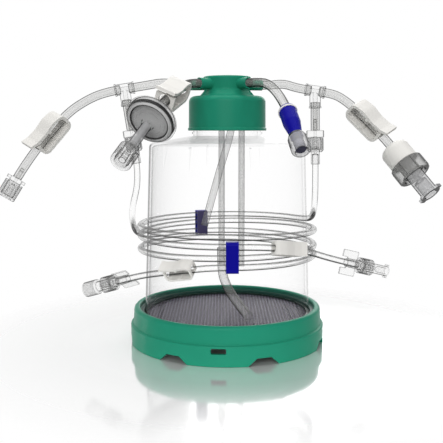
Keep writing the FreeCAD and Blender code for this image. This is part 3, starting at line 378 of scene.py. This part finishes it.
class Finish:  # a material, or a backdrop, and the one method that its nodes come from
    def __init__(self, name, store=bpy.data.materials):
        self.owner = store.new(name)
        self.owner.use_nodes = True
        self.tree = self.owner.node_tree
        self.tree.nodes.clear()

    def node(self, kind, settings=None, inputs=None, out=0):
        node = self.tree.nodes.new(kind)
        for key, value in (settings or {}).items():
            setattr(node, key, value)
        for key, value in (inputs or {}).items():
            plug(self.tree, node.inputs[key], value)
        return Wire(self.tree, node.outputs[out]) if node.outputs else node

    def place(self):  # where a point is on the part, in metres
        return self.node("ShaderNodeTexCoord", out="Object")

    def normal(self):
        return self.node("ShaderNodeTexCoord", out="Normal")

    def part(self, vector, axis):  # one of X, Y and Z
        return self.node("ShaderNodeSeparateXYZ", {}, {"Vector": vector}, out=axis)

    def vector(self, operation, a, b=(0, 0, 0), out="Vector"):
        return self.node("ShaderNodeVectorMath", {"operation": operation}, {0: a, 1: b}, out=out)

    def length(self, vector):
        return self.vector("LENGTH", vector, out="Value")

    def dot(self, a, b):
        return self.vector("DOT_PRODUCT", a, b, out="Value")

    def flat(self):  # the place without its height
        return self.vector("MULTIPLY", self.place(), (1, 1, 0))

    def reachFrom(self, centre, axis):  # distance from a slanting axis
        return self.length(self.vector("CROSS_PRODUCT", self.vector("SUBTRACT", self.place(), centre), axis))

    def outward(self):  # 1 where the surface looks away from the upright axis, -1 where it looks towards it
        return self.dot(self.normal(), self.vector("NORMALIZE", self.flat()))

    def crease(self, width):  # grows towards 1 at a sharp edge
        rounded = self.node("ShaderNodeBevel", {"samples": 6}, {"Radius": width})
        return 1 - self.dot(rounded, self.node("ShaderNodeNewGeometry", out="Normal"))

    def noise(self, scale, detail):
        return self.node("ShaderNodeTexNoise", {}, {"Vector": self.place(), "Scale": scale, "Detail": detail})

    def facing(self):  # 0 where the surface faces the viewer, 1 at its outline
        return self.node("ShaderNodeLayerWeight", out="Facing")

    def mix(self, factor, a, b):  # the colour sockets of a Mix node are 6 and 7, and come out at 2
        return self.node("ShaderNodeMix", {"data_type": "RGBA"}, {0: factor, 6: a, 7: b}, out=2)

    def bump(self, height, strength, distance):
        return self.node("ShaderNodeBump", {}, {"Height": height, "Strength": strength, "Distance": distance})

    def close(self, **inputs):
        names = {
            "colour": "Base Color", "rough": "Roughness", "alpha": "Alpha", "normal": "Normal",
            "specular": "Specular IOR Level"}
        sockets = {names[key]: value for key, value in inputs.items()}
        shader = self.node("ShaderNodeBsdfPrincipled", {}, sockets)
        self.node("ShaderNodeOutputMaterial", {}, {"Surface": shader})
        return self.owner


def mouldedPlastic(name, colour, shade, rough, specular=0.14, inside=None, end=None):  # an opaque plastic
    finish = Finish(name)
    cloud = finish.noise(18, 4)
    fine = finish.noise(900, 2)
    paint = finish.mix(cloud, colour, shade)
    if inside:  # another tone within this radius and below this height; on the green ring this is painted shade under the vessel
        near = ((inside["radius"] - finish.length(finish.flat())) * 800 + 0.5).clamp()
        low = ((inside["height"] - finish.part(finish.place(), "Z")) * 400 + 0.5).clamp()
        paint = finish.mix(near * low, paint, inside["colour"])
    if end:  # another tone on the face that looks this way
        match = finish.dot(finish.normal(), end["way"])
        paint = finish.mix(((match - 0.7) * 8).clamp(), paint, end["colour"])
    return finish.close(
        colour=paint, rough=rough + (cloud - 0.5) * 0.12,
        specular=specular, normal=finish.bump(fine, 0.06, 0.0002))


def rise(value, start, end):  # eases from 0 to 1 between the two limits
    ramp = ((value - start) * (1 / (end - start))).clamp()
    return ramp * ramp * (3 - 2 * ramp)


clearRules = {  # what all the see-through finishes share
    "sunny": (-0.02, 0.03), "sunnyDark": 0.6, "sunnyHaze": 0.9, "hazeMost": 1.3, "slopeLoss": 0.74,
    "endsOut": (0.3, 0.7), "endsTurn": (0.8, 0.93), "ends": 0.8, "levelDark": 0.15,
    "creaseRise": (0.012, 0.13), "crease": 0.85, "ridgeTurn": (0.1, 0.3), "ridge": 0.8, "underside": 0.2}


def clearPlastic(name, spec):  # see-through in the middle, painted dark near its outline in place of refraction, and painted bright at the very edge as a glint
    finish, rules = Finish(name), clearRules
    turn = finish.facing()
    # painted refraction outline, faded at the very edge by a painted glint
    dark = rise(turn, *spec["edge"]) * (1 - rise(turn, *spec["glint"]) * spec["fade"])
    if "slope" in spec:  # the shallow cone between two heights stays clear
        height = finish.part(finish.place(), "Z")
        low, high = spec["slope"]
        slope = rise(height, low - mm, low) * rise(height, high + mm, high)
        dark = dark * (1 - slope * rules["slopeLoss"])
    haze = turn * turn * spec["haze"]
    if "wall" in spec:  # the wall's inner side shows less, and so does all of the sunny side
        sunny = rise(finish.part(finish.place(), "X"), *rules["sunny"])
        dark = dark * (1 - (finish.outward() < 0) * spec["wall"]) * (1 - sunny * rules["sunnyDark"])
        haze = haze * (rules["hazeMost"] - sunny * rules["sunnyHaze"])
    if "wound" in spec:  # on the level turns only the two ends of a turn keep an outline here
        upright = rise(finish.part(finish.place(), "Z"), *spec["wound"])
        outward = finish.outward()
        ends = rise(outward * outward, *rules["endsOut"]) * rise(turn, *rules["endsTurn"])
        dark = dark * (upright + (1 - upright) * rules["levelDark"])
        dark = dark + ends * (1 - upright) * (1 - dark) * rules["ends"]
    if "crease" in spec:  # moulded edges get painted dark lines, standing in for their refraction
        line = rise(finish.crease(spec["crease"]), *rules["creaseRise"])
        dark = dark + line * (1 - dark) * rules["crease"]
    if "ridge" in spec:  # level turns get a painted dark outline along the top, and painted shade makes them darkest along the underside
        upward = finish.part(finish.normal(), "Z")
        shade = rise(upward * upward, *spec["ridge"]) * rise(turn, *rules["ridgeTurn"])
        dark = dark + shade * (rules["ridge"] - upward * rules["underside"]) * (1 - dark)
    low, high = spec["alpha"]
    cover = low + dark * (high - low) + haze
    if spec["back"] < 1:  # a wall seen from within its plastic shows less
        rear = finish.node("ShaderNodeNewGeometry", out="Backfacing")
        cover = cover * (1 - rear * (1 - spec["back"]))
    return finish.close(
        colour=finish.mix(dark, spec["middle"], spec["dark"]),
        rough=spec["rough"] + finish.noise(35, 2) * 0.03,
        alpha=cover, specular=spec["gloss"], normal=finish.bump(finish.noise(60, 2), 0.015, 0.0005))


def bandedShell(name, spec):  # the filter's shell: a painted bright highlight band between two painted dark refraction lines, hazy within
    finish = Finish(name)
    reach = finish.reachFrom(tuple(middle("filter_disc")), tuple(Vector(spec["axis"]).normalized()))

    def near(radius, half):  # 1 at this radius, 0 past the half width
        gap = reach.math("ABSOLUTE", reach - radius)
        return (2 - gap * (2 / half)).clamp()

    # painted dark refraction lines at two radii, a painted highlight band between them, and a painted dark
    # outline
    inner, outer = spec["lines"]
    lines = near(inner, spec["line"]) + near(outer, spec["line"])
    bright = near(spec["band"], spec["bandHalf"])
    edge = ((finish.facing() - 0.6) * 4).clamp()
    dark = (lines + edge).clamp()
    colour = finish.mix(bright, spec["haze"], spec["bright"])
    return finish.close(
        colour=finish.mix(dark, colour, spec["dark"]), rough=0.22 + finish.noise(35, 2) * 0.04,
        alpha=(spec["alpha"] + bright * 0.5 + dark * 0.8).clamp(), specular=0.2,
        normal=finish.bump(finish.noise(60, 2), 0.015, 0.0005))


def weave(name, spec):  # the support mesh: warp and weft threads with holes between
    finish = Finish(name)

    def threads(axis):
        across = finish.part(finish.place(), axis)
        return across.math("SINE", across * (2 * math.pi / spec["pitch"])) * 0.5 + 0.5

    lattice = (threads("X") * 0.6 + threads("Y") * 0.4) ** 2
    # the gaps take a painted near-black shade colour
    colour = finish.mix(lattice, spec["gap"], spec["thread"])
    return finish.close(
        colour=finish.mix(finish.noise(40, 3) * 0.3, colour, spec["tint"]),
        rough=0.55, specular=0.2, normal=finish.bump(lattice, 0.6, 0.0003))


clearKinds = {  # the see-through finishes
    "clear_plastic": {
        "middle": (0.3, 0.3, 0.31), "dark": (0.05, 0.05, 0.055), "alpha": (0.0, 0.94), "edge": (0.74, 0.88),
        "glint": (0.98, 1.0), "fade": 0.2, "haze": 0.22, "rough": 0.05, "gloss": 0.08, "back": 0.2,
        "slope": (0.1412, 0.1472), "wall": 0.7},
    "clear_fitting": {
        "middle": (0.6, 0.6, 0.59), "dark": (0.012, 0.012, 0.012), "alpha": (0.1, 0.97), "edge": (0.4, 0.72),
        "glint": (0.96, 1.0), "fade": 0.3, "haze": 0.08, "rough": 0.12, "gloss": 0.1, "back": 0.25,
        "crease": 0.001},
    "frosted": {
        "middle": (0.52, 0.52, 0.53), "dark": (0.012, 0.012, 0.014), "alpha": (0.5, 0.97), "edge": (0.42, 0.72),
        "glint": (0.97, 1.0), "fade": 0.2, "haze": 0.1, "rough": 0.25, "gloss": 0.1, "back": 0.4},
    "clear_tubing": {
        "middle": (0.5, 0.5, 0.49), "dark": (0.004, 0.004, 0.004), "alpha": (0.03, 0.96), "edge": (0.3, 0.56),
        "glint": (0.68, 0.88), "fade": 0.85, "haze": 0.03, "rough": 0.14, "gloss": 0.06, "back": 0.5,
        "ridge": (0.16, 0.4), "wound": (0.095, 0.104), "bore": (0.0, 0.12)},
    "soft_tubing": {
        "middle": (0.44, 0.44, 0.42), "dark": (0.03, 0.03, 0.028), "alpha": (0.3, 0.96), "edge": (0.3, 0.62),
        "glint": (0.92, 1.0), "fade": 0.4, "haze": 0.06, "rough": 0.2, "gloss": 0.08, "back": 0.35,
        "bore": (0.08, 0.35)},
    "dip_tubing": {
        "middle": (0.38, 0.38, 0.37), "dark": (0.03, 0.03, 0.028), "alpha": (0.24, 0.96), "edge": (0.32, 0.64),
        "glint": (0.92, 1.0), "fade": 0.4, "haze": 0.05, "rough": 0.15, "gloss": 0.08, "back": 0.35,
        "bore": (0.08, 0.4)},
    "pale_plastic": {
        "middle": (0.36, 0.36, 0.35), "dark": (0.015, 0.015, 0.015), "alpha": (0.5, 0.98), "edge": (0.3, 0.75),
        "glint": (0.95, 1.0), "fade": 0.3, "haze": 0.1, "rough": 0.2, "gloss": 0.12, "back": 0.6},
    "silicone": {
        "middle": (0.02, 0.045, 0.036), "dark": (0.012, 0.03, 0.024), "alpha": (0.85, 0.95), "edge": (0.3, 0.9),
        "glint": (0.9, 1.0), "fade": 0.0, "haze": 0.0, "rough": 0.3, "gloss": 0.1, "back": 1},
    "membrane": {
        # its grey is darkened as painted shade under the vessel
        "middle": (0.3, 0.29, 0.33), "dark": (0.3, 0.29, 0.34), "alpha": (0.04, 0.12), "edge": (0.5, 1.0),
        "glint": (0.9, 1.0), "fade": 0.0, "haze": 0.0, "rough": 0.3, "gloss": 0.06, "back": 1},
}


def finishName(slot):  # clear_tubing gives clearTubing
    first, *others = slot.split("_")
    return first + "".join(word.title() for word in others)


bores = {
    slot: clearPlastic(finishName(slot) + "Bore", {**spec, "alpha": spec["bore"]})
    for slot, spec in clearKinds.items() if "bore" in spec}
finishes = {slot: clearPlastic(finishName(slot), spec) for slot, spec in clearKinds.items()} | {
    "green_plastic": mouldedPlastic(
        "greenPlastic", (0.015, 0.25, 0.152), (0.019, 0.28, 0.174), 0.32, 0.06,
        # painted shade on the ring's inside, under the vessel
        {"radius": 0.0625, "height": 0.0264, "colour": (0.024, 0.07, 0.056)}),
    "white_plastic": mouldedPlastic("whitePlastic", (0.82, 0.8, 0.76), (0.86, 0.85, 0.82), 0.42),
    "blue_plastic": mouldedPlastic(
        "bluePlastic", (0.004, 0.003, 0.26), (0.006, 0.005, 0.3), 0.36, 0.05,
        {"radius": 0.0587, "height": 0.12, "colour": (0.075, 0.066, 0.15)}),
    "filterShell": bandedShell("filterShell", {
        "axis": filterFace["axis"], "lines": (0.0121, 0.015), "line": 0.0005, "band": 0.0135,
        "bandHalf": 0.0013, "haze": (0.4, 0.4, 0.4), "bright": (0.9, 0.9, 0.9),
        "dark": (0.012, 0.012, 0.012), "alpha": 0.16}),
    "grey_plastic": mouldedPlastic(
        "greyPlastic", (0.36, 0.36, 0.5), (0.42, 0.42, 0.55), 0.45,
        end={"way": (0.164, -0.753, -0.633), "colour": (0.04, 0.04, 0.07)}),
    "filter_media": mouldedPlastic("filterMedia", (0.78, 0.78, 0.78), (0.84, 0.84, 0.84), 0.85),
    "mesh": weave("mesh", {
        # threads and gaps darkened as painted shade under the vessel, the gaps painted near-black shade
        "pitch": 0.0023, "gap": (0.004, 0.003, 0.007), "thread": (0.26, 0.235, 0.31),
        "tint": (0.05, 0.045, 0.065)}),
}
ownFinish = {
    "sample_shroud": "frosted", "coupling_stub": "frosted", "filter_outlet_tube": "frosted",
    "filter_front": "filterShell", "filter_back": "filterShell"}
for name, node in nodes.items():
    node.data.materials.clear()
    node.data.materials.append(finishes[ownFinish.get(name, slots[name])])
    for face in node.data.polygons:
        face.material_index = 0
for piece, node in faces:
    piece.data.materials.append(finishes[ownFinish[node]])
for tube, node in tubes:
    tube.data.materials.append(finishes[slots[node]])
    tube.data.materials.append(bores[slots[node]])
print("finishes on:", len(finishes))

floor = {
    "size": 3.0, "colour": (0.95, 0.95, 0.95), "cloud": (0.97, 0.97, 0.97), "gloss": 0.6, "rough": 0.09,
    "shine": (0.1, 0.26), "fade": (0.115, 0.2)}


def layFloor(spec):
    build = bmesh.new()
    bmesh.ops.create_grid(build, x_segments=2, y_segments=2, size=spec["size"] / 2)
    mesh = bpy.data.meshes.new("floor")
    build.to_mesh(mesh)
    build.free()
    ground = addPiece("floor", mesh)
    ground.location.z = cadBox[0][2]
    finish = Finish("floorPaint")
    reach = finish.length(finish.place())

    def beyond(limits):  # 0 near the part, 1 past the second limit
        near, far = limits
        return ((reach - near) * (1 / (far - near))).clamp()

    paint = finish.mix(finish.noise(3, 2), spec["colour"], spec["cloud"])
    matt = finish.node("ShaderNodeBsdfDiffuse", {}, {"Color": paint})
    mirror = finish.node("ShaderNodeBsdfAnisotropic", {}, {"Color": (1, 1, 1), "Roughness": spec["rough"]})
    shine = (1 - beyond(spec["shine"])) * spec["gloss"]
    glaze = finish.node("ShaderNodeMixShader", {}, {0: shine, 1: matt, 2: mirror})
    clear = finish.node("ShaderNodeBsdfTransparent")
    faded = finish.node("ShaderNodeMixShader", {}, {0: beyond(spec["fade"]), 1: glaze, 2: clear})
    finish.node("ShaderNodeOutputMaterial", {}, {"Surface": faded})
    mesh.materials.append(finish.owner)


layFloor(floor)

lamps = {  # place, what it looks at, width, height, power
    "topSoftbox": ((0.0, 0.0, 1.1), (0, 0, 0.1), 1.2, 1.2, 8.3),
    "frontSoftbox": ((-0.12, -1.15, 0.5), (0, 0, 0.1), 0.9, 0.6, 8.5),
    "backSoftbox": ((0.3, 1.2, 0.6), (0, 0, 0.1), 0.8, 0.6, 3.5),
    "leftStrip": ((-0.75, 0.34, 0.14), (0, 0, 0.11), 0.05, 0.7, 1.0),
    "rightStrip": ((0.57, -0.63, 0.14), (0, 0, 0.11), 0.03, 0.7, 0.4),
}
backdrop = {"fill": 0.1, "layers": 48}


def hangLamps(specs):
    for name, (place, target, width, height, power) in specs.items():
        light = bpy.data.lights.new(name, "AREA")
        light.shape = "RECTANGLE"
        light.size = width
        light.size_y = height
        light.energy = power
        lamp = addPiece(name, light)
        lamp.location = place
        lamp.rotation_euler = (Vector(place) - Vector(target)).to_track_quat("Z", "Y").to_euler()


def hangBackdrop(spec):  # it looks white, and lights the part more softly
    sky = Finish("studio", bpy.data.worlds)
    direct = sky.node("ShaderNodeLightPath", out="Is Camera Ray")
    mirrored = sky.node("ShaderNodeLightPath", out="Is Glossy Ray")
    strength = (direct + mirrored) * (1 - spec["fill"]) + spec["fill"]
    back = sky.node("ShaderNodeBackground", {}, {"Color": (1, 1, 1), "Strength": strength})
    sky.node("ShaderNodeOutputWorld", {}, {"Surface": back})
    bpy.context.scene.world = sky.owner


hangLamps(lamps)
hangBackdrop(backdrop)
bpy.context.scene.view_settings.view_transform = "Standard"
bpy.context.scene.cycles.transparent_max_bounces = backdrop["layers"]
bpy.context.scene.cycles.use_denoising = True
print("studio ready")
